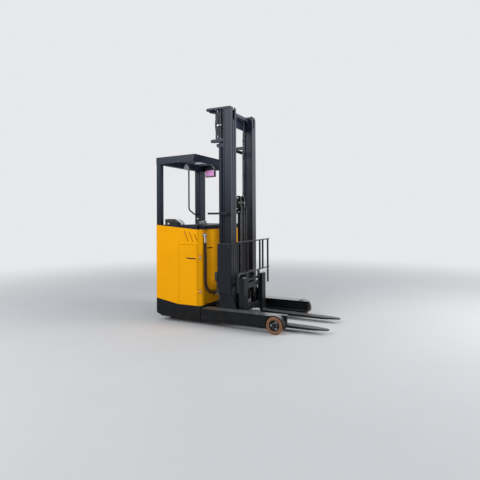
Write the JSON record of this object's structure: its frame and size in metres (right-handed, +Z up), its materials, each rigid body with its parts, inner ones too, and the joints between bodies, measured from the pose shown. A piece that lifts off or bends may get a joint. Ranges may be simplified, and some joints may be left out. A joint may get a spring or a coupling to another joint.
{
  "type": "reach truck",
  "caption": "Stand-on reach truck with a sliding three-stage mast, tilting forks, straddle legs on load wheels, overhead guard and battery door.",
  "frame": {"origin": "on the floor, halfway between the rear of the body and the fork tips, on the centre plane", "axes": "+X forward towards the fork tips, +Y to the truck's left, +Z up"},
  "size_m": [2.282, 1.124, 2.815],
  "materials": {
    "body_yellow": "satin paint",
    "mast_black": "satin paint",
    "base_black": "satin paint",
    "fork_black": "worn paint",
    "polyurethane": "cast polyurethane",
    "hub_black": "gloss paint",
    "drive_rubber": "matte",
    "polished_rod": "polished",
    "zinc_steel": "zinc plated",
    "hose_rubber": "semi-gloss",
    "pad_vinyl": "grained",
    "black_plastic": "moulded",
    "grey_plastic": "moulded",
    "floor_rubber": "ribbed",
    "battery_grey": "satin paint"
  },
  "bodies": {
    "chassis": {"main_frame": "base_black", "base_skirt": "base_black", "leg_left": "base_black", "leg_right": "base_black", "side_panel_left": "body_yellow", "side_panel_right": "body_yellow", "front_panel": "body_yellow", "deck_cover": "mast_black", "drive_console": "mast_black", "rear_post_left": "mast_black", "rear_post_right": "mast_black", "roof_frame": "mast_black", "grab_rail": "mast_black", "backrest_pad": "pad_vinyl", "control_box": "grey_plastic", "drive_motor": "mast_black", "reach_barrel": "mast_black", "outer_hose": "hose_rubber", "inner_hose": "hose_rubber", "hose_fittings": "zinc_steel", "monitor": "black_plastic", "work_lamp": "grey_plastic", "floor_mat": "floor_rubber", "battery": "battery_grey", "door_hinges": "zinc_steel"},
    "steering": {"steering_wheel": "black_plastic"},
    "drive_unit": {"drive_bracket": "hub_black"},
    "driving_wheel": {"drive_wheel": "drive_rubber"},
    "caster": {"caster_fork": "zinc_steel"},
    "caster_pair": {"caster_wheels": "drive_rubber"},
    "load_wheel_left": {"load_hub_left": "hub_black", "load_tyre_left": "polyurethane"},
    "load_wheel_right": {"load_hub_right": "hub_black", "load_tyre_right": "polyurethane"},
    "side_door": {"battery_door": "body_yellow"},
    "mast": {"reach_rod": "polished_rod", "mast_carriage": "mast_black", "outer_mast": "mast_black", "lift_barrels": "mast_black", "mast_side_cover": "mast_black", "junction_box": "black_plastic", "side_rail": "mast_black"},
    "middle_stage": {"lift_rods": "polished_rod", "middle_mast": "mast_black"},
    "inner_stage": {"inner_mast": "mast_black", "free_barrel": "mast_black", "chain_tails": "zinc_steel"},
    "free_ram": {"free_rod": "hub_black", "sheaves": "hub_black", "lift_chains": "zinc_steel"},
    "fork_lift": {"lift_carriage": "mast_black", "tilt_barrels": "hub_black"},
    "tilt_ram": {"tilt_rods": "polished_rod"},
    "forks": {"fork_frame": "mast_black", "fork_left": "fork_black", "fork_right": "fork_black", "load_backrest": "mast_black"}
  },
  "joints": [
    {"name": "load_wheel_left_spin", "type": "hinge", "parent": "chassis", "child": "load_wheel_left", "pos_m": [0.557, 0.515, 0.105], "axis": [0, 1, 0], "continuous": true},
    {"name": "load_wheel_right_spin", "type": "hinge", "parent": "chassis", "child": "load_wheel_right", "pos_m": [0.557, -0.515, 0.105], "axis": [0, 1, 0], "continuous": true},
    {"name": "drive_steer", "type": "hinge", "parent": "chassis", "child": "drive_unit", "pos_m": [-0.961, 0.232, 0.115], "axis": [0, 0, 1], "range_deg": [-90, 90]},
    {"name": "drive_spin", "type": "hinge", "parent": "drive_unit", "child": "driving_wheel", "pos_m": [-0.961, 0.232, 0.115], "axis": [0, 1, 0], "continuous": true},
    {"name": "steering_turn", "type": "hinge", "parent": "chassis", "child": "steering", "pos_m": [-0.96, 0.3, 1.1], "axis": [0, 0, 1], "range_deg": [-541, 541]},
    {"name": "caster_swivel", "type": "hinge", "parent": "chassis", "child": "caster", "pos_m": [-0.968, -0.36, 0.18], "axis": [0, 0, 1], "continuous": true},
    {"name": "caster_spin", "type": "hinge", "parent": "caster", "child": "caster_pair", "pos_m": [-1.002, -0.36, 0.075], "axis": [0, 1, 0], "continuous": true},
    {"name": "battery_door_swing", "type": "hinge", "parent": "chassis", "child": "side_door", "pos_m": [-0.462, -0.546, 0.6], "axis": [0, 0, 1], "range_deg": [0, 110]},
    {"name": "mast_reach", "type": "slide", "parent": "chassis", "child": "mast", "axis": [1, 0, 0], "range_m": [0, 0.55]},
    {"name": "main_lift", "type": "slide", "parent": "mast", "child": "middle_stage", "axis": [0, 0, 1], "range_m": [0, 1.9]},
    {"name": "inner_lift", "type": "slide", "parent": "middle_stage", "child": "inner_stage", "axis": [0, 0, 1], "range_m": [0, 1.9]},
    {"name": "free_lift", "type": "slide", "parent": "inner_stage", "child": "fork_lift", "axis": [0, 0, 1], "range_m": [0, 1.86], "deforming": ["lift_chains"]},
    {"name": "ram_lift", "type": "slide", "parent": "inner_stage", "child": "free_ram", "axis": [0, 0, 1], "range_m": [0, 0.93], "deforming": ["chain_tails"]},
    {"name": "fork_tilt", "type": "hinge", "parent": "fork_lift", "child": "forks", "pos_m": [-0.022, 0, 0.152], "axis": [0, 1, 0], "range_deg": [-5, 2]},
    {"name": "tilt_push", "type": "slide", "parent": "fork_lift", "child": "tilt_ram", "axis": [1, 0, 0], "range_m": [-0.0392, 0.0158]}
  ],
  "couplings": [
    {"joint": "steering_turn", "follows": "drive_steer", "ratio": 6},
    {"joint": "inner_lift", "follows": "main_lift", "ratio": 1},
    {"joint": "ram_lift", "follows": "free_lift", "ratio": 0.5},
    {"joint": "tilt_push", "follows": "fork_tilt", "m_per_rad": 0.448}
  ]
}
